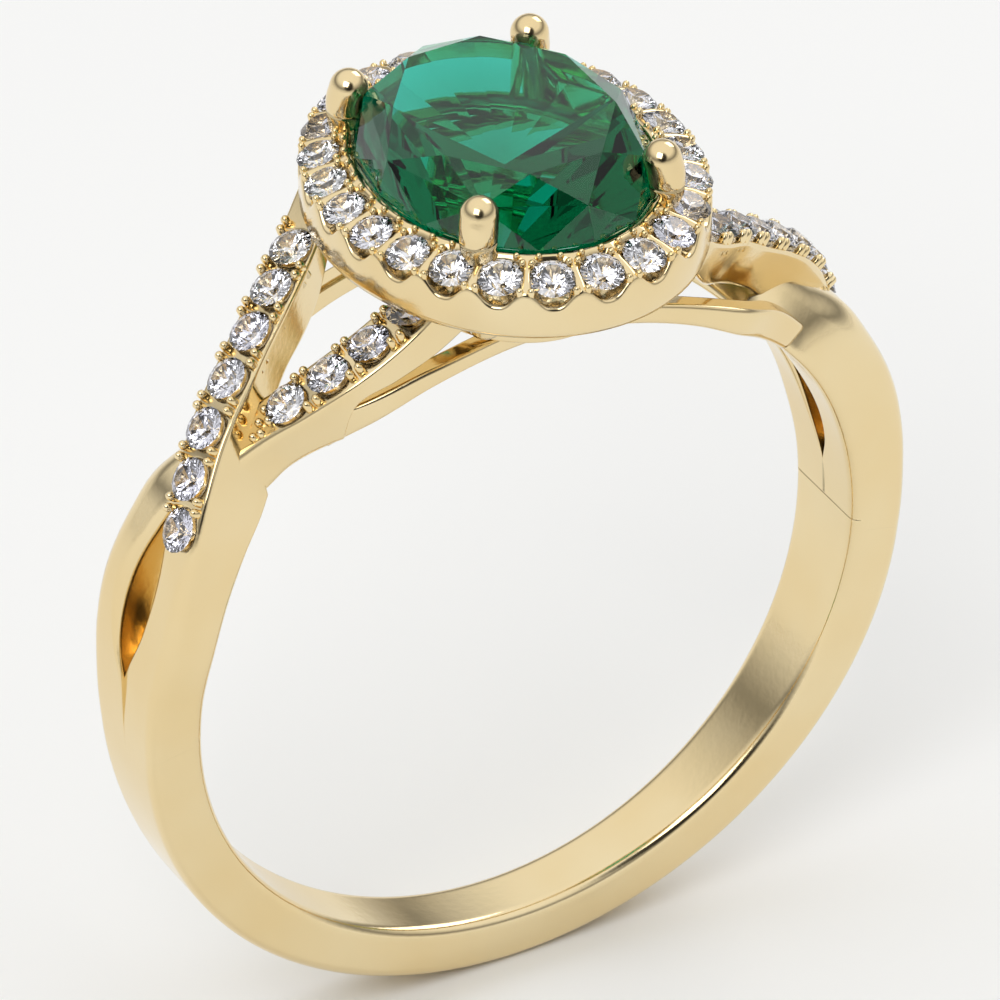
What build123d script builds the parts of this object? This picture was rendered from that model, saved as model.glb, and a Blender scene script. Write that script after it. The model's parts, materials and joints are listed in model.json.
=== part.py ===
from build123d import *
from math import cos, radians, sin, tan
import os

# Cocktail ring: an oval centre stone in four claws, a halo of small round stones, and a band
# whose shoulders split into two strands that cross once on each side.
# Origin at the centre of the finger hole. Y is the finger's axis, Z points up through the head.
# The ring looks the same after half a turn about Z, so the right shoulder is the left one turned.

# ---- driving dimensions, mm ----
BORE_R = 8.65                  # finger hole, 17.3 mm across
BAND_THICK = 1.39              # radial thickness of the lower band
BAND_HALF_SIDE = 1.40          # half its width level with the finger's centre
BAND_HALF_BOTTOM = 0.79        # half its width at the bottom
BAND_EDGE_R = 0.22             # rounding of its outer edges

HALO_A, HALO_B = 4.05, 4.89    # half axes of the line that the halo stones sit on
HALO_RIM = 0.42                # metal outside that line
HALO_INNER = 0.72              # metal inside it
HALO_TOP, HALO_LOW = 12.0, 11.0
HALO_TILT = 20                 # degrees that the halo and its stones lean outwards
HALO_STONES = 24
HALO_SHIFT = 0.2               # the first stone's distance from the rear end, in stones
HALO_STONE_D = 1.04
SHOULDER_STONE_D = 1.05

STONE_A, STONE_B = 3.27, 4.10  # centre stone, half axes at the girdle
GIRDLE_Z = 12.10
CROWN_H, PAVILION_H, GIRDLE_H = 1.50, 2.50, 0.12
SHOULDER_H, SHOULDER_SHARE = 0.80, 0.93    # where the steep lower crown meets the flatter upper one
TABLE_SHARE = 0.74             # table over girdle
KEEL_SHARE = 0.06              # the point's small oval over the girdle

SEAT_LOW, SEAT_TOP = 11.0, 11.80
SEAT_WALL = 0.42
BASE_A, BASE_B = 2.55, 3.15    # base ring under the stone
BASE_WALL = 0.75
BASE_TOP = 9.85
RAIL_RHO = 9.20                # outer radius of the two bridge rails at the top

PRONG_X, PRONG_Y = 2.40, 3.08  # a claw's centre level with the girdle
PRONG_FOOT_X, PRONG_FOOT_Y = 1.75, 2.25
PRONG_R = 0.38
CLAW_R = 0.45
CLAW_Z = 13.12
CLAW_LEAN = 0.10               # how far the domed tips lean in over the stone

BEAD_R = 0.14
BEAD_SIDE = 0.40               # a bead's distance from the halo's line
BEAD_UP = 0.02                 # a bead's centre above the metal
HALO_PILOT, THROUGH = 0.22, 2.0            # drilled right through under each halo stone
SHOULDER_PILOT, SHOULDER_DEPTH = 0.20, 0.62
SINK = 0.06                    # girdle of a small stone below the metal's top
REACH = 60                     # longer than anything here, for cutting tools

# Sections of the two strands of the left shoulder, each on a plane through the finger's axis:
# degrees from the top, top edges (front, rear), foot edges (front, rear), inner radius, outer radius.
# An inner radius under BORE_R runs into the finger hole and is trimmed to it.
FOOT = BORE_R - 0.35
OVER_STRAND = [
    (14.0, 2.20, 3.70, 2.45, 3.45, 10.95, 11.75),
    (19.0, 1.80, 3.30, 2.05, 3.05, 10.15, 11.25),
    (24.0, 1.25, 2.75, 1.52, 2.48, 9.60, 11.00),
    (29.0, 0.70, 2.20, 1.00, 1.90, 9.45, 10.90),
    (34.7, 0.25, 1.75, 0.55, 1.45, 9.38, 10.75),
    (40.5, -0.25, 1.25, 0.00, 1.00, 9.30, 10.73),
    (46.7, -0.75, 0.75, -0.55, 0.55, 9.10, 10.75),
    (52.6, -1.25, 0.25, -1.00, 0.15, FOOT, 10.70),
    (58.6, -1.60, -0.20, -1.28, -0.15, FOOT, 10.55),
    (66.0, -1.60, -0.25, -1.50, -0.20, FOOT, 10.22),
    (76.0, -1.58, -0.18, -1.62, -0.15, FOOT, 10.04),
    (90.0, -1.40, 0.00, -1.40, 0.00, FOOT, 10.04),
]
UNDER_STRAND = [
    (12.5, -2.80, -1.45, -2.40, -1.30, 10.10, 11.60),
    (18.6, -2.32, -0.85, -2.22, -0.90, 9.50, 10.65),
    (24.8, -2.18, -0.65, -2.12, -0.70, 9.42, 10.33),
    (31.2, -2.02, -0.50, -1.98, -0.50, 9.50, 10.26),
    (37.7, -1.55, -0.10, -1.48, 0.10, FOOT, 10.10),
    (44.0, -1.00, 0.50, -0.98, 1.40, FOOT, 9.95),
    (50.0, -0.62, 0.90, -0.70, 1.80, FOOT, 10.20),
    (56.0, -0.20, 1.20, -0.10, 1.78, FOOT, 10.48),
    (62.0, 0.10, 1.35, 0.12, 1.68, FOOT, 10.44),
    (70.0, 0.20, 1.45, 0.20, 1.55, FOOT, 10.44),
    (80.0, 0.12, 1.45, 0.12, 1.46, FOOT, 10.28),
    (90.0, 0.00, 1.40, 0.00, 1.40, FOOT, 10.04),
]
# The front bridge rail, from the left shoulder over the top to the right one, in the same form.
FRONT_RAIL = [
    (38.0, -1.45, -0.80, -1.45, -0.80, FOOT, 9.72),
    (30.0, -1.97, -1.40, -1.97, -1.40, FOOT, 9.40),
    (20.0, -2.21, -1.66, -2.21, -1.66, FOOT, RAIL_RHO),
    (0.0, -2.40, -1.85, -2.40, -1.85, FOOT, RAIL_RHO),
    (-14.0, -2.62, -2.05, -2.62, -2.05, FOOT, RAIL_RHO),
    (-25.0, -2.72, -2.15, -2.72, -2.15, FOOT, 9.25),
    (-33.0, -2.72, -2.10, -2.72, -2.10, FOOT, 9.38),
    (-39.0, -2.35, -1.70, -2.35, -1.70, FOOT, 9.45),
    (-47.0, -1.92, -1.20, -1.92, -1.20, FOOT, 9.40),
]
# Small stones on the strands: degrees from the top, place along the finger, radius of the metal's top.
OVER_STONES = [(24.0, 2.00, 11.00), (29.0, 1.45, 10.90), (34.5, 1.00, 10.75), (40.5, 0.50, 10.73),
               (46.7, 0.00, 10.75), (52.6, -0.50, 10.70), (58.6, -0.90, 10.55)]
UNDER_STONES = [(18.6, -1.58, 10.65), (24.8, -1.41, 10.33), (31.2, -1.26, 10.26), (37.7, -0.83, 10.10)]

os.makedirs("parts", exist_ok=True)


def keep(piece, name):
    """Label a finished piece and write its file."""
    piece.part.label = name
    export_step(piece.part, f"parts/{name}.step")


def axis_plane(degrees):
    """The plane through the finger's axis at so many degrees from the top: x along Y, y outwards."""
    turn = radians(degrees)
    return Plane(origin=(0, 0, 0), x_dir=(0, 1, 0), z_dir=(cos(turn), 0, sin(turn)))


def stone_plane(degrees, along, rho):
    """The plane that lies on a strand's top: its normal points away from the finger's axis."""
    turn = radians(degrees)
    out = Vector(-sin(turn), 0, cos(turn))
    return Plane(origin=Vector(0, along, 0) + out * rho, x_dir=(0, 1, 0), z_dir=out)


def bar_through(sections):
    """A bar lofted through sections on planes that all hold the finger's axis, trimmed to the finger hole."""
    with BuildPart() as bar:
        for degrees, top_front, top_rear, foot_front, foot_rear, low, high in sections:
            with BuildSketch(axis_plane(degrees)):
                with BuildLine():
                    Polyline((foot_front, low), (top_front, high), (top_rear, high), (foot_rear, low),
                             close=True)
                make_face()
        loft(ruled=True)
        Cylinder(BORE_R, REACH, rotation=(90, 0, 0), mode=Mode.SUBTRACT)
    return bar.part


def oval_ring(a, b, wall, low, high):
    """An oval ring, a and b its outer half axes, standing from one height to another."""
    with BuildPart() as ring:
        with BuildSketch(Plane.XY.offset(low)):
            Ellipse(a, b)
            Ellipse(a - wall, b - wall, mode=Mode.SUBTRACT)
        extrude(amount=high - low)
    return ring.part


def halo_spot(place):
    """The plane on the halo's top at a place counted in stones from the rear end: x along the line."""
    share = ((place - HALO_SHIFT) / HALO_STONES) % 1.0
    spot = HALO_LINE @ share
    along = HALO_LINE % share
    lean = radians(HALO_TILT)
    facing = Vector(along.Y * sin(lean), -along.X * sin(lean), cos(lean))
    return Plane(origin=(spot.X, spot.Y, HALO_TOP), x_dir=along, z_dir=facing)


def shoulder_spots(stones):
    """Planes on a strand's top, one for each stone, x along the strand."""
    planes = [stone_plane(*stone) for stone in stones]
    turned = []
    for i, plane in enumerate(planes):
        ahead = planes[min(i + 1, len(planes) - 1)].origin - planes[max(i - 1, 0)].origin
        across = plane.z_dir.cross(ahead).normalized()
        turned.append(Plane(origin=plane.origin, x_dir=across.cross(plane.z_dir), z_dir=plane.z_dir))
    return turned


HALO_LINE = Edge.make_ellipse(HALO_A, HALO_B, start_angle=90, end_angle=450)
HALO_SPOTS = [halo_spot(i) for i in range(HALO_STONES)]
HALO_GAPS = [halo_spot(i + 0.5) for i in range(HALO_STONES)]
OVER_SPOTS = shoulder_spots(OVER_STONES)
UNDER_SPOTS = shoulder_spots(UNDER_STONES)
PRONG_SIGNS = {"front_left": (-1, -1), "front_right": (1, -1), "rear_left": (-1, 1), "rear_right": (1, 1)}


def round_stone(diameter):
    """A round brilliant with its girdle just below z = 0: table, crown, girdle, cone to a point."""
    r = diameter / 2
    with BuildPart() as stone:
        with BuildSketch(Plane.XZ):
            with BuildLine():
                Polyline((0, -SINK - 0.86 * r), (r, -SINK), (r, 0.06 * r - SINK), (0.56 * r, 0.36 * r - SINK),
                         (0, 0.36 * r - SINK), close=True)
            make_face()
        revolve(axis=Axis.Z)
    return stone.part


def seat_tool(diameter, pilot, depth):
    """What a setter's burr takes out for one round stone: a cone with a drilled hole under it."""
    r = diameter / 2 + 0.02
    with BuildPart() as tool:
        with BuildSketch(Plane.XZ):
            with BuildLine():
                Polyline((0, -depth), (pilot, -depth), (pilot, -SINK - 0.87 * (r - pilot)), (r, -SINK),
                         (r, 0.5), (0, 0.5), close=True)
            make_face()
        revolve(axis=Axis.Z)
    return tool.part


HALO_STONE = round_stone(HALO_STONE_D)
SHOULDER_STONE = round_stone(SHOULDER_STONE_D)
HALO_SEAT = seat_tool(HALO_STONE_D, HALO_PILOT, THROUGH)
SHOULDER_SEAT = seat_tool(SHOULDER_STONE_D, SHOULDER_PILOT, SHOULDER_DEPTH)

# ---- the lower band: half a ring whose faces lean in towards the bottom ----
with BuildPart() as lower_band:
    with BuildSketch(Plane.XZ):
        Circle(BORE_R + BAND_THICK)
        Circle(BORE_R, mode=Mode.SUBTRACT)
        with Locations((0, BORE_R)):
            Rectangle(REACH, 2 * BORE_R, mode=Mode.SUBTRACT)
    extrude(amount=4, both=True)
    with BuildSketch(Plane.YZ):
        with BuildLine():
            DROP = BORE_R + BAND_THICK
            Polyline((-BAND_HALF_SIDE, 0), (BAND_HALF_SIDE, 0), (BAND_HALF_BOTTOM, -DROP),
                     (-BAND_HALF_BOTTOM, -DROP), close=True)
        make_face()
    extrude(amount=REACH, both=True, mode=Mode.INTERSECT)
    fillet(lower_band.edges().filter_by(GeomType.ELLIPSE).group_by(SortBy.LENGTH)[-1], BAND_EDGE_R)

keep(lower_band, "lower_band")

# ---- claws: a wire from the base ring to a domed tip over the girdle ----
prongs = {}
for corner, (sx, sy) in PRONG_SIGNS.items():
    foot = Vector(sx * PRONG_FOOT_X, sy * PRONG_FOOT_Y, BASE_TOP - 0.4)
    girdle = Vector(sx * PRONG_X, sy * PRONG_Y, GIRDLE_Z)
    with BuildPart() as prong:
        with BuildLine():
            Polyline(foot, girdle, (girdle.X, girdle.Y, CLAW_Z))
        with BuildSketch(Plane(origin=foot, z_dir=girdle - foot)):
            Circle(PRONG_R)
        sweep(transition=Transition.ROUND)
        with Locations((girdle.X - CLAW_LEAN * sx, girdle.Y - CLAW_LEAN * sy, CLAW_Z)):
            Sphere(CLAW_R)
        split(bisect_by=Plane.XY.offset(BASE_TOP), keep=Keep.TOP)
    prongs[corner] = prong

# ---- the centre stone: sixteen-sided crown, girdle and pavilion ----
FACET_LEVELS = [(GIRDLE_Z - PAVILION_H, KEEL_SHARE), (GIRDLE_Z, 1), (GIRDLE_Z + GIRDLE_H, 1),
                (GIRDLE_Z + SHOULDER_H, SHOULDER_SHARE), (GIRDLE_Z + CROWN_H, TABLE_SHARE)]
CORNERS = [radians(22.5 * i) for i in range(16)]

with BuildPart() as centre_stone:
    for (low, low_share), (high, high_share) in zip(FACET_LEVELS, FACET_LEVELS[1:]):
        for height, share in ((low, low_share), (high, high_share)):
            with BuildSketch(Plane.XY.offset(height)):
                with BuildLine():
                    Polyline([(share * STONE_A * cos(t), share * STONE_B * sin(t)) for t in CORNERS],
                             close=True)
                make_face()
        loft(ruled=True)
    for prong in prongs.values():
        add(prong.part, mode=Mode.SUBTRACT)
keep(centre_stone, "centre_stone")
for corner, prong in prongs.items():
    keep(prong, f"prong_{corner}")

# ---- the halo plate, with a seat for each stone and beads raised between them ----
RIM_TOP = HALO_TOP - HALO_RIM * tan(radians(HALO_TILT))
PAST_INNER = HALO_INNER + 0.2
with BuildPart() as halo_plate:
    with BuildSketch(Plane.XY.offset(HALO_LOW)):
        Ellipse(HALO_A + HALO_RIM, HALO_B + HALO_RIM)
    extrude(amount=RIM_TOP - HALO_LOW)
    with BuildSketch(Plane.XY.offset(RIM_TOP)):
        Ellipse(HALO_A + HALO_RIM, HALO_B + HALO_RIM)
    with BuildSketch(Plane.XY.offset(HALO_TOP + PAST_INNER * tan(radians(HALO_TILT)))):
        Ellipse(HALO_A - PAST_INNER, HALO_B - PAST_INNER)
    loft(ruled=True)
    with BuildSketch(Plane.XY.offset(HALO_LOW)):
        Ellipse(HALO_A - HALO_INNER, HALO_B - HALO_INNER)
    extrude(amount=THROUGH, mode=Mode.SUBTRACT)
    for gap in HALO_GAPS:
        for side in (-BEAD_SIDE, BEAD_SIDE):
            with Locations(gap.offset(BEAD_UP).location * Location((0, side, 0))):
                Sphere(BEAD_R)
    for spot in HALO_SPOTS:
        with Locations(spot.location):
            add(HALO_SEAT, mode=Mode.SUBTRACT)
    for prong in prongs.values():
        add(prong.part, mode=Mode.SUBTRACT)
keep(halo_plate, "halo_plate")

for number, spot in enumerate(HALO_SPOTS, start=1):
    with BuildPart() as halo_diamond:
        with Locations(spot.location):
            add(HALO_STONE)
        for prong in prongs.values():
            add(prong.part, mode=Mode.SUBTRACT)
    keep(halo_diamond, f"halo_diamond_{number:02d}")

# ---- the oval seat that the centre stone rests in, inside the halo ----
with BuildPart() as stone_seat:
    add(oval_ring(HALO_A - HALO_INNER, HALO_B - HALO_INNER, SEAT_WALL, SEAT_LOW, SEAT_TOP))
    for prong in prongs.values():
        add(prong.part, mode=Mode.SUBTRACT)
    add(centre_stone.part, mode=Mode.SUBTRACT)
keep(stone_seat, "stone_seat")

# ---- the base ring, saddled on the two bridge rails ----
with BuildPart() as base_ring:
    add(oval_ring(BASE_A, BASE_B, BASE_WALL, BORE_R, BASE_TOP))
    Cylinder(RAIL_RHO, REACH, rotation=(90, 0, 0), mode=Mode.SUBTRACT)

# ---- shoulders: each strand and rail once, then its twin half a turn round ----
with BuildPart() as left_over_strand:
    add(bar_through(OVER_STRAND))
    split(bisect_by=Plane.XY.offset(HALO_LOW), keep=Keep.BOTTOM)
    with Locations(*[spot.location for spot in OVER_SPOTS]):
        add(SHOULDER_SEAT, mode=Mode.SUBTRACT)
with BuildPart() as left_under_strand:
    add(bar_through(UNDER_STRAND))
    add(bar_through(OVER_STRAND), mode=Mode.SUBTRACT)
    split(bisect_by=Plane.XY.offset(HALO_LOW), keep=Keep.BOTTOM)
    with BuildSketch(Plane.XY.offset(BORE_R)):
        Ellipse(BASE_A, BASE_B)
    extrude(amount=BASE_TOP - BORE_R, mode=Mode.SUBTRACT)
    with Locations(*[spot.location for spot in UNDER_SPOTS]):
        add(SHOULDER_SEAT, mode=Mode.SUBTRACT)
with BuildPart() as front_bridge_rail:
    add(bar_through(FRONT_RAIL))
    for bar in (bar_through(OVER_STRAND), bar_through(UNDER_STRAND)):
        add(bar, mode=Mode.SUBTRACT)
        add(bar, rotation=(0, 0, 180), mode=Mode.SUBTRACT)

with BuildPart() as left_over_diamonds:
    with Locations(*[spot.location for spot in OVER_SPOTS]):
        add(SHOULDER_STONE)

with BuildPart() as left_under_diamonds:
    with Locations(*[spot.location for spot in UNDER_SPOTS]):
        add(SHOULDER_STONE)

TWINS = [
    (left_over_strand, "left_over_strand", "right_over_strand"),
    (left_under_strand, "left_under_strand", "right_under_strand"),
    (front_bridge_rail, "front_bridge_rail", "rear_bridge_rail"),
    (left_over_diamonds, "left_over_diamonds", "right_over_diamonds"),
    (left_under_diamonds, "left_under_diamonds", "right_under_diamonds"),
]
for first, name, twin_name in TWINS:
    keep(first, name)
    with BuildPart() as twin:
        add(first.part, rotation=(0, 0, 180))
    keep(twin, twin_name)

keep(base_ring, "base_ring")
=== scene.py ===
# %% [markdown]
# A halo cocktail ring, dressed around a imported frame. The frame gives the finger hole and the outer
# size. The other sizes are written again here, close to the frame's, and moved a little from it where
# a bead, a claw or an edge looks truer. The looks are surfaces worked out with numpy.
# Everything is worked out in millimetres, because that is how a goldsmith reads a ring, and is turned
# into metres only when a mesh is made.

# %% Load the frame
import json
import bpy
import numpy as np
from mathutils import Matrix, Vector


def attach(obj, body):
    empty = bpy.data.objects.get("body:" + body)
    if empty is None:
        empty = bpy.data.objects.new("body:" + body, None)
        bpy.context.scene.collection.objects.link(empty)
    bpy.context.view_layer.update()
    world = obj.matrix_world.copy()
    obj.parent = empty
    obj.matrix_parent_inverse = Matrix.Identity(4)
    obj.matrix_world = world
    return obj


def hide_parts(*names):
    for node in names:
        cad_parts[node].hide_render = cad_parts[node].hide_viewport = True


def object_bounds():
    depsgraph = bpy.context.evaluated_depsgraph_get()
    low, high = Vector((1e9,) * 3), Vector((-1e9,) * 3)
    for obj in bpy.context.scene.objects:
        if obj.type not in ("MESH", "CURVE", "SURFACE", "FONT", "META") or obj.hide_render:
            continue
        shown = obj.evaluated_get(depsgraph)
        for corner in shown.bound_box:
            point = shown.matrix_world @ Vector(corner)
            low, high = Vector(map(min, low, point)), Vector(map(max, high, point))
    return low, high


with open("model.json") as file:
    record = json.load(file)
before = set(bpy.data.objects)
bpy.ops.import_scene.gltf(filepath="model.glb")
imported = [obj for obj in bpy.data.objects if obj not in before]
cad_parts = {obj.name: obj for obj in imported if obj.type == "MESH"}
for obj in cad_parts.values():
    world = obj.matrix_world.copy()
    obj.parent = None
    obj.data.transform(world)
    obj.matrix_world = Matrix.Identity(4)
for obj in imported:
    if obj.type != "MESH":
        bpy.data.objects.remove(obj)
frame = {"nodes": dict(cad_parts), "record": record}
cad_low, cad_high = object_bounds()
MM = 0.001
BORE_R = frame["record"]["mounts"][0]["dims"]["r_mm"]
print("nodes", len(frame["nodes"]), "finger hole radius", BORE_R)

# %% [markdown]
# The ring is taken to be the same after half a turn about the vertical. So each shoulder piece is
# worked out once, on the left, and its twin is the same points with x and y negated, which turns
# nothing inside out.
# A helper makes a mesh from a grid of points; it measures the enclosed volume and flips the faces if
# that comes out negative, so every closed piece faces outwards whichever way its grid was written.

# %% Helpers: a mesh from arrays
def quads(rows, columns, wrap_rows, wrap_columns):
    """Indices of the four-sided faces of a rows x columns grid, joined end to end where it wraps."""
    r = np.arange(rows if wrap_rows else rows - 1)
    c = np.arange(columns if wrap_columns else columns - 1)
    r, c = np.meshgrid(r, c, indexing="ij")
    r2, c2 = (r + 1) % rows, (c + 1) % columns
    corners = [r * columns + c, r * columns + c2, r2 * columns + c2, r2 * columns + c]
    return np.stack(corners, -1).reshape(-1, 4)


def volume(points, faces):
    """Six times the enclosed volume: the sum of the corner products of each face cut into triangles."""
    total = 0.0
    for face in faces:
        p = points[np.asarray(face)]
        for k in range(1, len(face) - 1):
            total += float(np.dot(p[0], np.cross(p[k], p[k + 1])))
    return total


def grid_volume(points, faces):
    """The same sum for an array of four-sided faces at once."""
    a, b, c, d = (points[faces[:, k]] for k in range(4))
    return float(np.sum(a * np.cross(b, c)) + np.sum(a * np.cross(c, d)))


def make_piece(name, points, faces, material, slot, smooth=True):
    """A mesh object at the origin, from points in millimetres and a list of faces, riding on the ring."""
    mesh = bpy.data.meshes.new(name)
    mesh.from_pydata((np.asarray(points) * MM).tolist(), [], [list(map(int, f)) for f in faces])
    mesh.polygons.foreach_set("use_smooth", np.full(len(mesh.polygons), smooth))
    mesh.materials.append(material)
    mesh.validate()
    piece = bpy.data.objects.new(name, mesh)
    bpy.context.scene.collection.objects.link(piece)
    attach(piece, "root")
    print(name, "faces", len(mesh.polygons))
    return piece


def tube_faces(grid, closed_ring):
    """Faces of a grid whose columns wrap. A closed ring wraps along too; an open bar gets an end cap."""
    rows, columns = grid.shape[:2]
    points = grid.reshape(-1, 3)
    sides = quads(rows, columns, closed_ring, True)
    if closed_ring:
        faces = list(sides if grid_volume(points, sides) > 0 else sides[:, ::-1])
        return points, faces
    ends = [np.arange(columns)[::-1], (rows - 1) * columns + np.arange(columns)]
    faces = list(sides) + ends
    centred = points - points.mean(0)
    if volume(centred, ends) + grid_volume(centred, sides) < 0:
        faces = [f[::-1] for f in faces]
    return points, faces


def half_turn(points):
    """The same points half a turn round the vertical."""
    return np.asarray(points) * np.array([-1.0, -1.0, 1.0])


# %% [markdown]
# Yellow gold is a polished metal, so nearly all of its colour comes from what it reflects. A real ring
# is never a perfect mirror: the last buffing leaves hair-fine lines and cloudy patches. The roughness
# is moved a little by soft noise and a very faint bump breaks the reflections as buffing does.

# %% Finish: high polish gold
def node_material(name):
    """An empty node material and a function that adds a node to it with given socket values."""
    material = bpy.data.materials.new(name)
    material.use_nodes = True
    tree = material.node_tree
    tree.nodes.clear()

    def add(kind, **values):
        node = tree.nodes.new(kind)
        for key, value in values.items():
            node.inputs[key.replace("_", " ")].default_value = value
        return node

    return material, tree, add


def noise_range(tree, add, vector, scale, detail, low, high):
    """Soft noise on the piece, stretched from a low to a high value."""
    noise = add("ShaderNodeTexNoise", Scale=scale, Detail=detail)
    tree.links.new(vector, noise.inputs["Vector"])
    spread = add("ShaderNodeMapRange", From_Min=0.3, From_Max=0.7, To_Min=low, To_Max=high)
    tree.links.new(noise.outputs["Fac"], spread.inputs["Value"])
    return spread.outputs["Result"]


def gold_finish(name, base, deep, rough_low, rough_high, bump):
    """Metal whose colour drifts between two close golds, with cloudy roughness and faint buffing lines."""
    material, tree, add = node_material(name)
    place = add("ShaderNodeTexCoord")
    vector = place.outputs["Object"]
    metal = add("ShaderNodeBsdfPrincipled", Metallic=1.0)
    colour = tree.nodes.new("ShaderNodeMix")
    colour.data_type = "RGBA"
    colour.inputs["A"].default_value = base
    colour.inputs["B"].default_value = deep
    tree.links.new(noise_range(tree, add, vector, 260.0, 3.0, 0.0, 1.0), colour.inputs["Factor"])
    tree.links.new(colour.outputs["Result"], metal.inputs["Base Color"])
    rough = noise_range(tree, add, vector, 700.0, 4.0, rough_low, rough_high)
    tree.links.new(rough, metal.inputs["Roughness"])
    buff = add("ShaderNodeBump", Strength=bump, Distance=0.00002)
    tree.links.new(noise_range(tree, add, vector, 5200.0, 2.0, 0.0, 1.0), buff.inputs["Height"])
    tree.links.new(buff.outputs["Normal"], metal.inputs["Normal"])
    out = add("ShaderNodeOutputMaterial")
    tree.links.new(metal.outputs["BSDF"], out.inputs["Surface"])
    return material


GOLD = gold_finish("polished_gold", base=(0.87, 0.72, 0.44, 1), deep=(0.84, 0.66, 0.36, 1),
                   rough_low=0.10, rough_high=0.18, bump=0.05)
CUT_GOLD = gold_finish("bright_cut_gold", base=(0.92, 0.77, 0.48, 1), deep=(0.86, 0.65, 0.31, 1),
                       rough_low=0.05, rough_high=0.12, bump=0.10)


# %% [markdown]
# The stones are clear, so they are shown by bending light. The green one takes its colour inside: a
# tint on the surface would look like painted glass, so the body soaks up red, and a little blue, as
# light crosses it, and the surface still throws back a clean white. The small white stones have a high
# index, which sends the light back up from their facets.

# %% Finish: green and white stones
def gem_finish(name, clear, cloud, index, soak=None, density=0.0):
    """Clear material whose clarity drifts slightly, as growth zones do; soak is what the body lets by."""
    material, tree, add = node_material(name)
    place = add("ShaderNodeTexCoord")
    glass = add("ShaderNodeBsdfGlass", Roughness=0.0, IOR=index)
    colour = tree.nodes.new("ShaderNodeMix")
    colour.data_type = "RGBA"
    colour.inputs["A"].default_value = clear
    colour.inputs["B"].default_value = cloud
    growth = noise_range(tree, add, place.outputs["Object"], 420.0, 2.0, 0.0, 1.0)
    tree.links.new(growth, colour.inputs["Factor"])
    tree.links.new(colour.outputs["Result"], glass.inputs["Color"])
    out = add("ShaderNodeOutputMaterial")
    tree.links.new(glass.outputs["BSDF"], out.inputs["Surface"])
    if soak:
        body = add("ShaderNodeVolumeAbsorption", Color=soak, Density=density)
        tree.links.new(body.outputs["Volume"], out.inputs["Volume"])
    return material


EMERALD = gem_finish("green_stone", clear=(0.97, 1.0, 0.99, 1), cloud=(0.88, 0.96, 0.94, 1), index=1.58,
                     soak=(0.0, 0.885, 0.83, 1), density=2100.0)
DIAMOND = gem_finish("white_stone", clear=(1.0, 1.0, 1.0, 1), cloud=(0.96, 0.96, 1.0, 1), index=2.1)

# %% [markdown]
# A strand of the shoulder is a bar bent round the finger. The easy way to say such a shape is by
# sections: at a given number of degrees from the top, where its front and rear edges are and how far
# out it reaches. A smooth curve through those few sections gives hundreds of in-between ones, and each
# section's corners are rounded as a file and a buff would leave them.

# %% Helpers: smooth sections along the finger
BAND_JOIN = 90.0                # degrees from the top where the strands run into the lower band
SINK_PER_DEGREE, SINK_DEGREES = 0.02, 8.0   # how a strand's inside slopes away under the band's


def smooth_through(where, known, values):
    """A smooth curve through known points: cubics whose slope at each point is the slope between its
    two neighbours. values may have several columns."""
    known, values = np.asarray(known, float), np.asarray(values, float)
    slope = np.gradient(values, known, axis=0)
    k = np.clip(np.searchsorted(known, where) - 1, 0, len(known) - 2)
    step = (known[k + 1] - known[k])[:, None]
    t = ((where - known[k])[:, None]) / step
    return ((2 * t**3 - 3 * t**2 + 1) * values[k] + (t**3 - 2 * t**2 + t) * step * slope[k]
            + (3 * t**2 - 2 * t**3) * values[k + 1] + (t**3 - t**2) * step * slope[k + 1])


def rounded(corners, radii, steps=6):
    """Outlines with rounded corners: each corner becomes an arc between the points one radius before
    and after it, and each side gets fifteen points in between. corners is (sections, corners, 2)."""
    before, after = np.roll(corners, 1, 1) - corners, np.roll(corners, -1, 1) - corners
    near = corners + before / np.linalg.norm(before, axis=-1, keepdims=True) * radii[..., None]
    far = corners + after / np.linalg.norm(after, axis=-1, keepdims=True) * radii[..., None]
    t = np.linspace(0, 1, steps)[None, None, :, None]
    w = np.sqrt(0.5)
    weight = (1 - t) ** 2 + 2 * w * t * (1 - t) + t**2
    arc = ((1 - t) ** 2 * near[:, :, None] + 2 * w * t * (1 - t) * corners[:, :, None]
           + t**2 * far[:, :, None]) / weight
    share = np.linspace(0.04, 0.96, 15)[None, None, :, None]
    side = far[:, :, None] * (1 - share) + np.roll(near, -1, 1)[:, :, None] * share
    return np.concatenate([arc, side], 2).reshape(len(corners), -1, 2)


def round_finger(degrees, outline):
    """Places outlines given as (along the finger, distance from its axis) at degrees from the top."""
    turn = np.radians(np.asarray(degrees))[:, None]
    along, rho = outline[..., 0], outline[..., 1]
    return np.stack([-rho * np.sin(turn), along, rho * np.cos(turn)], -1)


def bar(sections, count, radii):
    """Points of a bar through sections (degrees, top front, top rear, foot front, foot rear, inner,
    outer). radii gives the rounding of the foot and top corners, front then rear, at each section.
    Past the joint the bar's inside slopes away under the band's, so the two never lie in one surface."""
    table = np.array(sections)
    where = np.linspace(table[0, 0], table[-1, 0], count)
    tf, tr, ff, fr, low, high = smooth_through(where, table[:, 0], table[:, 1:7]).T
    low = np.maximum(low, BORE_R) + SINK_PER_DEGREE * np.clip(where - BAND_JOIN, 0, SINK_DEGREES)
    corners = np.stack([np.stack([ff, low], -1), np.stack([tf, high], -1), np.stack([tr, high], -1),
                        np.stack([fr, low], -1)], 1)
    round_by = smooth_through(where, table[:, 0], np.array(radii))
    return round_finger(where, rounded(corners, round_by))


# %% [markdown]
# The lower band is one bar of gold whose faces draw together towards the bottom of the finger. Inside,
# its edges are rounded for comfort; outside they are only softened. It could be a revolved ring, but
# its width changes all the way round, so it is a bar through sections like the strands.

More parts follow.
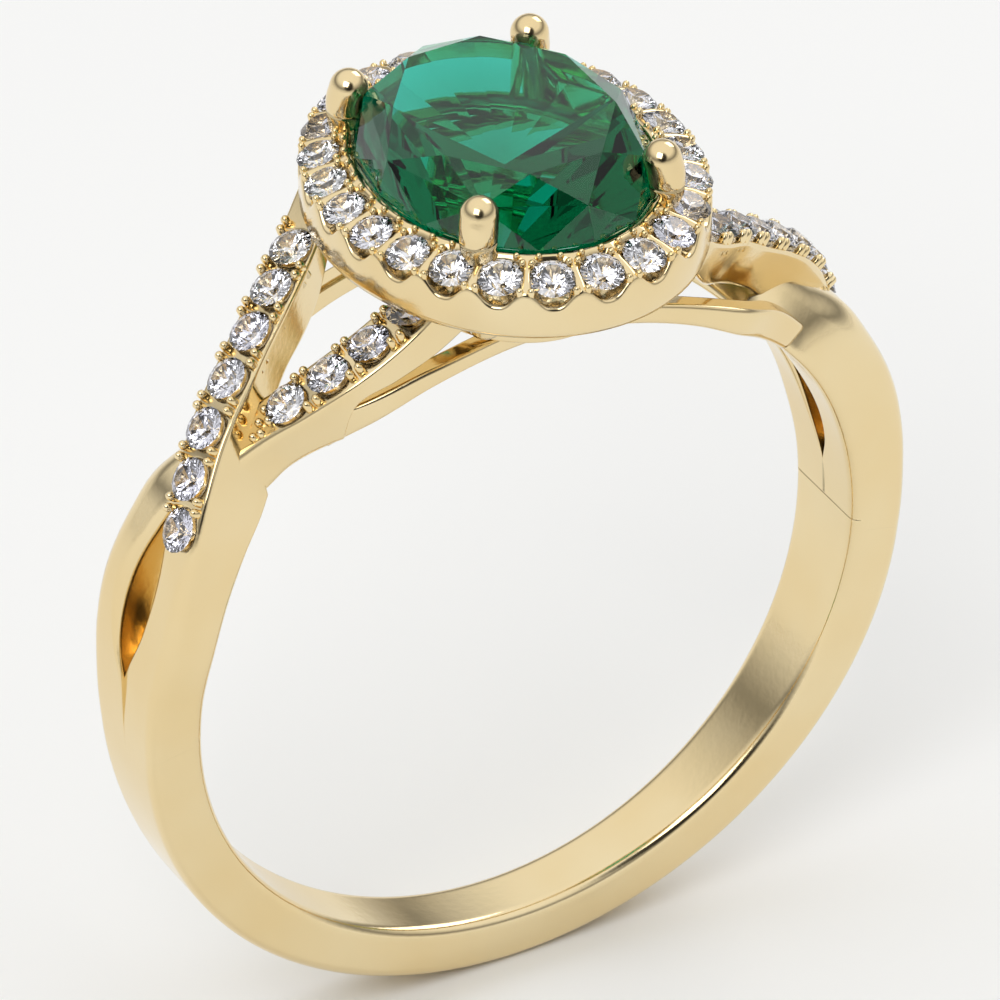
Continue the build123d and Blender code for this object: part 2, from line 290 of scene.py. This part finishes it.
# %% Lower band
BAND_OUT = 10.04
BAND_HALF_SIDE, BAND_HALF_BOTTOM = 1.40, 0.79
BAND_SECTIONS = 260
INSIDE_ROUND, OUTSIDE_ROUND = 0.28, 0.30


def band_half(height):
    """Half the band's width at a height: widest level with the finger's centre, narrowest at the bottom."""
    return BAND_HALF_SIDE + (BAND_HALF_SIDE - BAND_HALF_BOTTOM) * height / BAND_OUT


where = np.linspace(BAND_JOIN, 360 - BAND_JOIN, BAND_SECTIONS)
half_in = band_half(np.minimum(BORE_R * np.cos(np.radians(where)), 0))
half_out = band_half(np.minimum(BAND_OUT * np.cos(np.radians(where)), 0))
flat = np.full_like(where, 1.0)
corners = np.stack([np.stack([-half_in, BORE_R * flat], -1), np.stack([-half_out, BAND_OUT * flat], -1),
                    np.stack([half_out, BAND_OUT * flat], -1), np.stack([half_in, BORE_R * flat], -1)], 1)
edges = np.stack([INSIDE_ROUND * flat, OUTSIDE_ROUND * flat, OUTSIDE_ROUND * flat, INSIDE_ROUND * flat], 1)
band_points, band_faces = tube_faces(round_finger(where, rounded(corners, edges)), False)
band = make_piece("polished_lower_band", band_points, band_faces, GOLD, "yellow_gold")
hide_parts("lower_band")

# %% [markdown]
# Each shoulder has two strands. The over strand starts behind the head, crosses on the outside and
# runs into the front half of the band; the under strand starts in front, dives beneath it and comes
# out behind as a rounded polished swell. Small stones are set along the upper part of both.

# %% Strands and bridge rails
FOOT = BORE_R - 0.35            # inside the finger hole, so that the bar stops at its surface
STRAND_SECTIONS, RAIL_SECTIONS = 420, 160
OVER = [
    (13.0, 2.30, 3.80, 2.55, 3.55, 11.00, 11.80),
    (19.0, 1.80, 3.30, 2.15, 2.95, 10.15, 11.15),
    (24.0, 1.27, 2.73, 1.62, 2.38, 9.60, 10.86),
    (29.0, 0.72, 2.18, 1.07, 1.83, 9.45, 10.76),
    (34.7, 0.27, 1.73, 0.62, 1.38, 9.38, 10.61),
    (40.5, -0.23, 1.23, 0.05, 0.95, 9.30, 10.59),
    (46.7, -0.73, 0.73, -0.60, 0.55, 9.05, 10.61),
    (52.6, -1.23, 0.23, -1.05, 0.15, FOOT, 10.56),
    (58.6, -1.56, -0.20, -1.30, -0.15, FOOT, 10.42),
    (66.0, -1.60, -0.42, -1.50, -0.30, FOOT, 10.20),
    (75.0, -1.58, -0.36, -1.60, -0.30, FOOT, 10.05),
    (84.5, -1.46, 0.03, -1.46, 0.03, FOOT, 10.05),
    (91.0, -1.393, 0.05, -1.393, 0.05, FOOT, 10.045),
    (98.0, -1.300, 0.05, -1.300, 0.05, FOOT, 10.025),
]
OVER_ROUND = [(0.12, 0.10, 0.10, 0.12)] * 8 + [(0.22, 0.20, 0.16, 0.12), (0.28, 0.32, 0.24, 0.12),
                                              (0.28, 0.32, 0.16, 0.06), (0.28, 0.31, 0.01, 0.01),
                                              (0.28, 0.30, 0.01, 0.01), (0.28, 0.30, 0.01, 0.01)]
UNDER = [
    (11.0, -2.90, -1.55, -2.45, -1.35, 10.15, 11.60),
    (18.6, -2.32, -0.85, -2.24, -0.90, 9.55, 10.52),
    (24.8, -2.18, -0.68, -2.14, -0.72, 9.46, 10.20),
    (31.2, -2.02, -0.53, -1.98, -0.50, 9.50, 10.12),
    (37.7, -1.55, -0.13, -1.48, 0.10, FOOT, 9.98),
    (44.0, -1.00, 0.50, -0.98, 1.40, FOOT, 9.95),
    (50.0, -0.62, 0.90, -0.70, 1.80, FOOT, 10.12),
    (56.0, -0.20, 1.20, -0.10, 1.78, FOOT, 10.42),
    (62.0, 0.14, 1.35, 0.16, 1.68, FOOT, 10.44),
    (70.0, 0.40, 1.45, 0.34, 1.55, FOOT, 10.42),
    (78.0, 0.28, 1.45, 0.26, 1.48, FOOT, 10.28),
    (84.5, -0.03, 1.44, -0.03, 1.44, FOOT, 10.13),
    (91.0, -0.05, 1.393, -0.05, 1.393, FOOT, 10.055),
    (98.0, -0.05, 1.300, -0.05, 1.300, FOOT, 10.025),
]
UNDER_ROUND = [(0.10, 0.10, 0.10, 0.10)] * 4 + [(0.28, 0.12, 0.12, 0.20), (0.28, 0.20, 0.30, 0.28),
               (0.20, 0.30, 0.42, 0.28), (0.12, 0.32, 0.50, 0.28), (0.12, 0.30, 0.50, 0.28),
               (0.12, 0.28, 0.46, 0.28), (0.06, 0.14, 0.38, 0.28), (0.01, 0.02, 0.32, 0.28),
               (0.01, 0.01, 0.30, 0.28), (0.01, 0.01, 0.30, 0.28)]
RAIL = [
    (38.0, -1.45, -0.80, -1.45, -0.80, FOOT, 9.72),
    (30.0, -1.97, -1.40, -1.97, -1.40, FOOT, 9.40),
    (20.0, -2.21, -1.66, -2.21, -1.66, FOOT, 9.20),
    (0.0, -2.40, -1.85, -2.40, -1.85, FOOT, 9.20),
    (-14.0, -2.62, -2.05, -2.62, -2.05, FOOT, 9.20),
    (-25.0, -2.72, -2.15, -2.72, -2.15, FOOT, 9.25),
    (-33.0, -2.72, -2.10, -2.72, -2.10, FOOT, 9.38),
    (-39.0, -2.35, -1.70, -2.35, -1.70, FOOT, 9.45),
    (-47.0, -1.92, -1.20, -1.92, -1.20, FOOT, 9.40),
]
RAIL_ROUND = [(0.22, 0.12, 0.12, 0.14)] * len(RAIL)

# Places of the stones: degrees from the top, along the finger, distance of the girdle from its axis.
OVER_STONES = np.array([(24.0, 2.00, 11.00), (29.0, 1.45, 10.90), (34.5, 1.00, 10.75), (40.5, 0.50, 10.73),
                        (46.7, 0.00, 10.75), (52.6, -0.50, 10.70), (58.6, -0.90, 10.55)])
UNDER_STONES = np.array([(18.6, -1.58, 10.65), (24.8, -1.41, 10.33), (31.2, -1.26, 10.26),
                         (37.7, -0.83, 10.10)])
SHOULDER_R = 0.525
CUP_RIM, CUP_SLOPE, CUP_REACH = -0.12, 0.9, -0.9   # the cup's edge, its slope, and its depth limit


def on_strand(stones):
    """Centres, directions along the row and directions away from the finger for places on a strand."""
    turn = np.radians(stones[:, 0])
    out = np.stack([-np.sin(turn), np.zeros(len(turn)), np.cos(turn)], -1)
    centre = out * stones[:, 2:3] + np.stack([0 * turn, stones[:, 1], 0 * turn], -1)
    along = np.gradient(centre, axis=0)
    return centre, along / np.linalg.norm(along, axis=1, keepdims=True), out


def cut_cups(points, stones):
    """Sinks metal under each stone: within its radius no point may stand above the cone the stone
    rests in, so a point that does is pushed straight down to it along the stone's own axis."""
    points = points.copy()
    for centre, out in zip(*on_strand(stones)[::2]):
        gap = points - centre
        height = gap @ out
        reach = np.linalg.norm(gap - height[..., None] * out, axis=-1)
        cone = CUP_RIM - CUP_SLOPE * np.maximum(SHOULDER_R - reach, 0)
        under_stone = (reach < SHOULDER_R) & (height > CUP_REACH)
        sink = np.where(under_stone, np.minimum(cone - height, 0), 0)
        points += sink[..., None] * out
    return points


def twins(first, second, points, faces, material, slot, first_nodes, second_nodes, smooth=True):
    """A piece and the same piece half a turn round, each standing for its own frame nodes."""
    one = make_piece(first, points, faces, material, slot, smooth)
    two = make_piece(second, half_turn(points), faces, material, slot, smooth)
    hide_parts(*first_nodes)
    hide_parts(*second_nodes)
    return one, two


for strand, sections, rounding, stones in (("over", OVER, OVER_ROUND, OVER_STONES),
                                           ("under", UNDER, UNDER_ROUND, UNDER_STONES)):
    points, faces = tube_faces(cut_cups(bar(sections, STRAND_SECTIONS, rounding), stones), False)
    twins(f"left_{strand}_strand_gold", f"right_{strand}_strand_gold", points, faces, GOLD, "yellow_gold",
          [f"left_{strand}_strand"], [f"right_{strand}_strand"])
twins("front_rail_gold", "rear_rail_gold", *tube_faces(bar(RAIL[::-1], RAIL_SECTIONS, RAIL_ROUND), False),
      GOLD, "yellow_gold", ["front_bridge_rail"], ["rear_bridge_rail"])

# %% [markdown]
# Between the two strands, below their crossing, a narrow slit is left. A thin floor of gold halfway
# down is a guess, made because the slit glows a deeper colour than the outside: light that gets in
# bounces off the floor and the walls.

# %% Floor of the slits
SLIT_FLOOR = [(angle, -0.50, 0.50, -0.50, 0.50, 9.15, 9.45) for angle in (60.0, 68.0, 76.0, 86.0)]
slit_points, slit_faces = tube_faces(bar(SLIT_FLOOR, 60, [(0.05, 0.05, 0.05, 0.05)] * 4), False)
make_piece("left_slit_floor", slit_points, slit_faces, CUT_GOLD, "yellow_gold")
make_piece("right_slit_floor", half_turn(slit_points), slit_faces, CUT_GOLD, "yellow_gold")

# %% [markdown]
# The head is oval, and so are the plate, the seat and the base ring in it. Each is one profile carried
# round an ellipse, pushed out square to the line at every point. Points are spaced evenly along the
# line, not by angle, because the stones are evenly spaced too and their seats must follow them.

# %% Oval rings of the head
HALO_A, HALO_B = 4.05, 4.89
HALO_STONES, HALO_SHIFT = 24, 0.2
HALO_TOP = 12.0
HALO_LEAN = np.radians(20.0)


def even_ellipse(a, b, share):
    """Points and outward directions at shares of the way round an ellipse, starting at its rear end.
    The length is added up over many small steps and read backwards."""
    t = np.linspace(0, 2 * np.pi, 4001)
    run = np.concatenate([[0], np.cumsum(np.hypot(np.diff(a * np.sin(t)), np.diff(b * np.cos(t))))])
    angle = np.interp(np.mod(share, 1.0) * run[-1], run, t)
    point = np.stack([-a * np.sin(angle), b * np.cos(angle)], -1)
    out = np.stack([-np.sin(angle) / a, np.cos(angle) / b], -1)
    return point, out / np.linalg.norm(out, axis=-1, keepdims=True)


def oval_ring(a, b, share, profile):
    """Carries a profile of (outwards, height) round an ellipse; the profile may change along the way."""
    point, out = even_ellipse(a, b, share)
    flat_place = point[:, None] + out[:, None] * profile[..., :1]
    return np.concatenate([flat_place, profile[..., 1:]], -1)


STEPS_PER_STONE = 24
share = np.arange(HALO_STONES * STEPS_PER_STONE) / (HALO_STONES * STEPS_PER_STONE)
gap = (0.5 - 0.5 * np.cos(2 * np.pi * (HALO_STONES * share + HALO_SHIFT)))[:, None] ** 1.4
halo_outline = np.array([
    (0.30, 10.62), (0.38, 10.65), (0.43, 10.80), (0.44, 11.34), (0.43, 11.41), (0.38, 11.45), (0.30, 11.47),
    (0.12, 11.50), (0.0, 11.52), (-0.20, 11.56), (-0.40, 11.66), (-0.48, 11.84), (-0.54, 12.02),
    (-0.60, 12.17), (-0.66, 12.21), (-0.70, 12.18), (-0.72, 12.05), (-0.72, 11.10), (-0.68, 11.00),
    (-0.2, 11.00), (0.16, 10.68)])
halo_rise = np.array([0, 0, 0, 0.28, 0.38, 0.41, 0.42, 0.46, 0.48, 0.48, 0.46, 0.32, 0.17, 0.04] + [0] * 7)
halo_profile = np.repeat(halo_outline[None], len(share), 0)
halo_profile[..., 1] += gap * halo_rise
halo = make_piece("halo_plate_gold", *tube_faces(oval_ring(HALO_A, HALO_B, share, halo_profile), True),
                  GOLD, "yellow_gold")
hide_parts("halo_plate")


def plain_ring(name, a, b, outline, radii, node):
    """An oval ring of one constant outline with rounded corners, standing for one frame node."""
    profile = rounded(np.array([outline], float), np.array([radii], float))
    around = np.arange(200) / 200
    points, faces = tube_faces(oval_ring(a, b, around, np.repeat(profile, len(around), 0)), True)
    ring = make_piece(name, points, faces, GOLD, "yellow_gold")
    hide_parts(node)


SEAT_A, SEAT_B = 3.33, 4.17
plain_ring("stone_seat_gold", SEAT_A, SEAT_B, [(-0.42, 11.05), (-0.01, 11.0), (-0.01, 11.82), (-0.20, 11.82)],
           [0.06, 0.03, 0.03, 0.04], "stone_seat")
BASE_A, BASE_B = 2.55, 3.15
plain_ring("base_ring_gold", BASE_A, BASE_B, [(-0.75, 9.15), (0.0, 9.05), (0.0, 9.85), (-0.75, 9.85)],
           [0.15, 0.15, 0.22, 0.15], "base_ring")

# %% [markdown]
# Four claws hold the big stone. Each is a round wire that rises from the base ring, stands straight
# beside the girdle and ends in a dome bent a little over the crown. A wire is a circle carried along
# a line, and the dome is the same circle shrinking along a quarter turn.

# %% Claws
PRONG_R = 0.41                  # the wire
CLAW_R = 0.45                   # the dome over the stone
SWELL_FROM, SWELL_OVER = 12.1, 0.6          # where the wire starts to thicken, and over what height
WIRE_SIDES, CLAW_SECTIONS, DOME_RINGS = 32, 60, 13
TOP_SHARE = 0.985               # the dome stops just short of a point, and a small flat closes it


def wire(path, radius):
    """A round wire: a circle carried along a path, square to it, with its radius given at each point."""
    along = np.gradient(path, axis=0)
    along /= np.linalg.norm(along, axis=1, keepdims=True)
    side = np.cross(along, [0.0, 0.0, 1.0]) + np.array([1e-6, 0, 0])
    side /= np.linalg.norm(side, axis=1, keepdims=True)
    other = np.cross(along, side)
    turn = np.linspace(0, 2 * np.pi, WIRE_SIDES + 1)[:-1]
    ring = np.cos(turn)[None, :, None] * side[:, None] + np.sin(turn)[None, :, None] * other[:, None]
    return path[:, None] + ring * radius[:, None, None]


PRONG_SIGNS = {"front_left": (-1, -1), "front_right": (1, -1), "rear_left": (-1, 1), "rear_right": (1, 1)}
CLAW_STEPS = np.array([(1.75, 2.25, 9.50), (1.99, 2.57, 10.4), (2.25, 2.89, 11.4), (2.40, 3.08, 12.1),
                       (2.42, 3.10, 12.7), (2.36, 3.03, 13.11)])
for corner, (sx, sy) in PRONG_SIGNS.items():
    rise = np.linspace(0, len(CLAW_STEPS) - 1, CLAW_SECTIONS)
    path = smooth_through(rise, np.arange(len(CLAW_STEPS)), CLAW_STEPS)
    radius = PRONG_R + (CLAW_R - PRONG_R) * np.clip((path[:, 2] - SWELL_FROM) / SWELL_OVER, 0, 1)
    lean = path[-1] - path[-2]
    lean /= np.linalg.norm(lean)
    dome = np.linspace(0, np.pi / 2 * TOP_SHARE, DOME_RINGS + 1)[1:]
    cap = path[-1] + lean * CLAW_R * np.sin(dome)[:, None]
    path, radius = np.vstack([path, cap]), np.concatenate([radius, CLAW_R * np.cos(dome)])
    points, faces = tube_faces(wire(path * np.array([sx, sy, 1.0]), radius), False)
    claw = make_piece(f"claw_{corner}", points, faces, GOLD, "yellow_gold")
    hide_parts(f"prong_{corner}")

# %% [markdown]
# A brilliant has a flat table, eight kite facets round it with small triangles between, a thin girdle,
# and a pavilion of eight long kites to the point. Its corners lie on circles at a few heights, so the
# whole cut is three rings of points and the faces between them. An oval stone is the same cut stretched.

# %% Brilliant cut
def brilliant(table=0.56, crown=0.30, pavilion=0.86, girdle=0.04, mains=8, star=(0.771, 0.52), arc=1):
    """Corners and faces of a brilliant of girdle radius 1, girdle top at height 0. Rings: table, where
    stars meet kites, upper girdle, lower girdle, the lower break, and the point. arc is how many short
    steps each facet's edge takes along the girdle, so a large stone's outline stays round."""
    k = np.arange(mains)
    main, half = 2 * np.pi * k / mains, 2 * np.pi * (k + 0.5) / mains
    rim = 2 * mains * arc
    fine = 2 * np.pi * np.arange(rim) / rim
    star_r, star_h = star[0], crown * star[1]

    def ring(angles, r, h):
        return np.stack([r * np.cos(angles), r * np.sin(angles), np.full_like(angles, h)], -1)

    break_r = 0.26              # where the long pavilion facets begin, and nearly on the straight cone
    break_h = -girdle - pavilion * (1 - break_r) * 0.985
    points = np.vstack([ring(half, table, crown), ring(main, star_r, star_h), ring(fine, 1, 0),
                        ring(fine, 1, -girdle), ring(half, break_r, break_h), [[0, 0, -girdle - pavilion]]])
    t0, s0, g0, l0, b0, c0 = np.cumsum([0, mains, mains, rim, rim, mains])

    def edge(ring_start, half_facet):
        """Points along the girdle under one half facet."""
        return list(ring_start + (half_facet * arc + np.arange(arc + 1)) % rim)

    faces = [list(t0 + k)]
    for i in range(mains):
        j, p = (i + 1) % mains, (i - 1) % mains
        faces.append([t0 + p, s0 + i, t0 + i])
        faces.append([s0 + i, g0 + (2 * i + 1) * arc, s0 + j, t0 + i])
        faces.append([s0 + i] + edge(g0, 2 * i))
        faces.append([s0 + i] + edge(g0, 2 * i - 1))
        faces.append([b0 + i] + edge(l0, 2 * i)[::-1])
        faces.append([b0 + p] + edge(l0, 2 * i - 1)[::-1])
        faces.append([l0 + 2 * i * arc, b0 + p, c0, b0 + i])
    for i in range(rim):
        j = (i + 1) % rim
        faces.append([g0 + i, l0 + i, l0 + j, g0 + j])
    return points, faces


ROUND_POINTS, ROUND_FACES = brilliant()


def place_stone(centre, along, out, radius):
    """The round cut's corners with the girdle at centre, table facing out, turned to lie along."""
    out = out / np.linalg.norm(out)
    side = np.cross(out, along)
    side /= np.linalg.norm(side)
    ahead = np.cross(side, out)
    frame_axes = np.stack([ahead, side, out])
    return centre + radius * ROUND_POINTS @ frame_axes


# %% [markdown]
# The green stone is the same cut stretched to an oval, with a broad table and a steep lower crown that
# meets a flatter upper one. Its edge takes six short steps to each half facet, so the oval stays smooth.

# %% Centre stone
STONE_A, STONE_B = 3.27, 4.10
GIRDLE_Z, CROWN_H, PAVILION_H = 12.22, 1.38, 2.50
oval_points, oval_faces = brilliant(table=0.74, crown=1.0, pavilion=1.0, girdle=0.04, mains=8,
                                    star=(0.93, 0.60), arc=6)
oval_points = oval_points * np.array([STONE_A, STONE_B, 1.0])
height = oval_points[:, 2]
oval_points[:, 2] = GIRDLE_Z + np.where(height > 0, height * CROWN_H, height * PAVILION_H)
emerald = make_piece("green_oval_stone", oval_points, oval_faces, EMERALD, "green_stone", smooth=False)
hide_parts("centre_stone")

# %% [markdown]
# The halo's stones lean outwards with the plate they sit on, so each is placed along its own normal,
# with its girdle a hair below the leaning line that runs through all of them.

# %% Halo stones
HALO_STONE_R = 0.515
UP = np.array([0.0, 0.0, 1.0])


def on_halo(place, push):
    """Places on the leaning halo, counted in stones, pushed outwards down its slope, and their normals."""
    spots, outs = even_ellipse(HALO_A, HALO_B, (place - HALO_SHIFT) / HALO_STONES)
    outs = np.concatenate([outs, np.zeros((len(outs), 1))], 1)
    downhill = outs * np.cos(HALO_LEAN) - UP * np.sin(HALO_LEAN)
    facing = outs * np.sin(HALO_LEAN) + UP * np.cos(HALO_LEAN)
    on_line = np.concatenate([spots, np.full((len(spots), 1), HALO_TOP)], 1)
    return on_line + downhill * push, facing


centres, facings = on_halo(np.arange(HALO_STONES), 0.0)
for number, (centre, facing) in enumerate(zip(centres, facings), start=1):
    along = np.cross(UP, facing)
    points = place_stone(centre - 0.03 * facing, along / np.linalg.norm(along), facing, HALO_STONE_R)
    stone = make_piece(f"halo_stone_{number:02d}", points, ROUND_FACES, DIAMOND, "white_stone", smooth=False)
    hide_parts(f"halo_diamond_{number:02d}")

# %% [markdown]
# The shoulder stones sit in a row on each strand, tables facing away from the finger. Between them the
# setter raises a bead of metal at each edge and presses it over both girdles. A bead is a tiny domed
# post, and hundreds of them would weigh too much if each had many faces, so it has five rings of ten.

# %% Shoulder stones and beads
BEAD_R, BEAD_H = 0.115, 0.42
POST_SIDES = 10
BEAD_SIDE, BEAD_APART = 0.49, 0.13          # from the row's middle line, and half the gap in a pair


def posts(places, outs, radius, height):
    """Domed posts, all in one mesh: each is rings of ten points from its foot to a small top."""
    ring = 2 * np.pi * np.arange(POST_SIDES) / POST_SIDES
    rise = np.array([(-height, 1.0), (-0.05, 1.0), (0.45 * radius, 0.86), (0.85 * radius, 0.45),
                     (radius, 0.08)])
    outs = outs / np.linalg.norm(outs, axis=1, keepdims=True)
    side = np.cross(outs, np.array([0.31, 0.87, 0.37]))
    side /= np.linalg.norm(side, axis=1, keepdims=True)
    other = np.cross(outs, side)
    circle = (np.cos(ring)[None, :, None] * side[:, None]
              + np.sin(ring)[None, :, None] * other[:, None]) * radius
    grid = (places[:, None, None] + circle[:, None] * rise[None, :, 1, None, None]
            + outs[:, None, None] * rise[None, :, 0, None, None])
    last = (len(rise) - 1) * POST_SIDES
    one = list(quads(len(rise), POST_SIDES, False, True))
    one += [np.arange(POST_SIDES)[::-1], last + np.arange(POST_SIDES)]
    if volume(grid[0].reshape(-1, 3) - places[0], one) < 0:
        one = [f[::-1] for f in one]
    faces = [f + k * (last + POST_SIDES) for k in range(len(places)) for f in one]
    return grid.reshape(-1, 3), faces


def row_of_stones(stones):
    """All the stones of one strand as one mesh, and the beads along both of its edges."""
    centre, along, out = on_strand(stones)
    points = np.vstack([place_stone(c, a, o, SHOULDER_R) for c, a, o in zip(centre, along, out)])
    faces = [[v + k * len(ROUND_POINTS) for v in f] for k in range(len(stones)) for f in ROUND_FACES]
    gaps = np.vstack([stones[0] * 1.5 - stones[1] * 0.5, (stones[1:] + stones[:-1]) / 2])
    spot, ahead, up = on_strand(gaps)
    across = np.cross(up, ahead)
    across /= np.linalg.norm(across, axis=1, keepdims=True)
    places = np.vstack([spot + across * side + ahead * step for side in (BEAD_SIDE, -BEAD_SIDE)
                        for step in (BEAD_APART, -BEAD_APART)])
    return points, faces, posts(places, np.vstack([up] * 4), BEAD_R, BEAD_H)


for strand, stones in (("over", OVER_STONES), ("under", UNDER_STONES)):
    points, faces, (bead_points, bead_faces) = row_of_stones(stones)
    twins(f"left_{strand}_stones", f"right_{strand}_stones", points, faces, DIAMOND, "white_stone",
          [f"left_{strand}_diamonds"], [f"right_{strand}_diamonds"], smooth=False)
    make_piece(f"left_{strand}_beads", bead_points, bead_faces, CUT_GOLD, "yellow_gold")
    make_piece(f"right_{strand}_beads", half_turn(bead_points), bead_faces, CUT_GOLD, "yellow_gold")

# %% [markdown]
# Where the under strand's row of stones ends, a few more beads finish the tip. They are the same posts
# as between the stones.

# %% Beads at the tip of the under strand
TIP_BEADS = np.array([(40.2, -0.40, 10.02), (40.8, -0.74, 10.02), (41.9, -0.52, 9.99), (42.7, -0.78, 9.98),
                      (43.8, -0.66, 9.97)])
tip_spot, _, tip_up = on_strand(TIP_BEADS)
tip_points, tip_faces = posts(tip_spot, tip_up, BEAD_R, BEAD_H)
make_piece("left_tip_beads", tip_points, tip_faces, CUT_GOLD, "yellow_gold")
make_piece("right_tip_beads", half_turn(tip_points), tip_faces, CUT_GOLD, "yellow_gold")

# %% [markdown]
# Round the halo, every gap between two stones has a pair of beads at each edge, and a row of finer ones
# runs inside them. They lean with the plate, so they are placed by the same helper as its stones.

# %% Halo beads
between = np.arange(HALO_STONES) + 0.5
pairs = np.concatenate([between - 0.1, between + 0.1])
fine = np.arange(2 * HALO_STONES) / 2 + 0.25
for name, where, push, size in (("outer", pairs, 0.38, 0.095), ("inner", pairs, -0.42, 0.095),
                                ("fine", fine, -0.62, 0.085)):
    places, facings = on_halo(where, push)
    make_piece(f"halo_beads_{name}", *posts(places, facings, size, 0.40), CUT_GOLD, "yellow_gold")

# %% [markdown]
# The ring stands on a plain pale floor under soft light. Polished gold shows its form only if what it
# reflects is uneven, so the ring stands in a white tent that is bright above, dim in a belt round the
# sides and pale again near the floor. The tent has a dark opening for the lens, which shows as the dark
# spot on each claw's dome. Two large soft boxes light it from outside.

# %% Floor, light and camera
def soft_box(name, place, aim, size, power):
    """A large soft light at a place, facing a point."""
    data = bpy.data.lights.new(name, "AREA")
    data.shape, data.size, data.energy = "SQUARE", size, power
    light = bpy.data.objects.new(name, data)
    light.location = place
    light.rotation_euler = (Vector(aim) - Vector(place)).to_track_quat("-Z", "Y").to_euler()
    bpy.context.scene.collection.objects.link(light)


floor_corners = [(x, y, cad_low.z) for x, y in ((-3, -3), (3, -3), (3, 3), (-3, 3))]
floor_mesh = bpy.data.meshes.new("floor")
floor_mesh.from_pydata(floor_corners, [], [(0, 1, 2, 3)])
floor = bpy.data.objects.new("floor", floor_mesh)
bpy.context.scene.collection.objects.link(floor)
paper, tree, add = node_material("pale_paper")
paper_face = add("ShaderNodeBsdfPrincipled", Roughness=0.9, Base_Color=(0.93, 0.93, 0.92, 1))
tree.links.new(paper_face.outputs["BSDF"], add("ShaderNodeOutputMaterial").inputs["Surface"])
floor_mesh.materials.append(paper)

CAMERA_AZIMUTH, CAMERA_ELEVATION = -29.4, 35.3
a, e = np.radians([CAMERA_AZIMUTH, CAMERA_ELEVATION])
back = np.array([np.sin(a) * np.cos(e), -np.cos(a) * np.cos(e), np.sin(e)])

world = bpy.data.worlds.new("studio")
bpy.context.scene.world = world
world.use_nodes = True
tree = world.node_tree
tree.nodes.clear()
place = tree.nodes.new("ShaderNodeTexCoord")


def ramp_of(stops, source):
    """A grey ramp through (position, level) stops, fed from a socket."""
    ramp = tree.nodes.new("ShaderNodeValToRGB")
    tree.links.new(source, ramp.inputs["Fac"])
    while len(ramp.color_ramp.elements) < len(stops):
        ramp.color_ramp.elements.new(0.5)
    for element, (position, level) in zip(ramp.color_ramp.elements, stops):
        element.position = position
        element.color = (level, level, level, 1)
    return ramp.outputs["Color"]


split = tree.nodes.new("ShaderNodeSeparateXYZ")
tree.links.new(place.outputs["Generated"], split.inputs["Vector"])
tent = ramp_of([(0.0, 0.85), (0.10, 0.62), (0.28, 0.22), (0.42, 0.55), (0.62, 0.95), (1.0, 1.0)],
               split.outputs["Z"])
facing = tree.nodes.new("ShaderNodeVectorMath")
facing.operation = "DOT_PRODUCT"
facing.inputs[1].default_value = back.tolist()
tree.links.new(place.outputs["Generated"], facing.inputs[0])
hole = ramp_of([(0.0, 1.0), (0.84, 1.0), (0.93, 0.06), (1.0, 0.02)], facing.outputs["Value"])
both = tree.nodes.new("ShaderNodeMix")
both.data_type, both.blend_type = "RGBA", "MULTIPLY"
both.inputs["Factor"].default_value = 1.0
tree.links.new(tent, both.inputs["A"])
tree.links.new(hole, both.inputs["B"])
sky = tree.nodes.new("ShaderNodeBackground")
sky.inputs["Strength"].default_value = 1.0
out = tree.nodes.new("ShaderNodeOutputWorld")
tree.links.new(both.outputs["Result"], sky.inputs["Color"])
tree.links.new(sky.outputs["Background"], out.inputs["Surface"])

soft_box("key_box", (-0.25, -0.20, 0.35), (0, 0, 0), 0.25, 0.62)
soft_box("rim_box", (0.30, 0.15, 0.25), (0, 0, 0), 0.20, 0.26)

CAMERA_DISTANCE = 251.2         # millimetres, like everything here
CAMERA_RIGHT, CAMERA_UP = -0.107, 2.232
FIELD = 23.3                    # width of the view level with the finger hole's centre
SENSOR = 36.0
right = np.array([np.cos(a), np.sin(a), 0.0])
upward = np.cross(back, right)
camera_data = bpy.data.cameras.new("camera")
camera_data.sensor_width = SENSOR
camera_data.lens = SENSOR * CAMERA_DISTANCE / FIELD
camera_data.clip_start, camera_data.clip_end = 0.01, 20.0
camera = bpy.data.objects.new("camera", camera_data)
target = Vector((right * CAMERA_RIGHT + upward * CAMERA_UP) * MM)
camera.location = Vector(back * CAMERA_DISTANCE * MM)
camera.rotation_euler = (target - camera.location).to_track_quat("-Z", "Y").to_euler()
bpy.context.scene.collection.objects.link(camera)
bpy.context.scene.camera = camera
bpy.context.scene.view_settings.view_transform = "Standard"
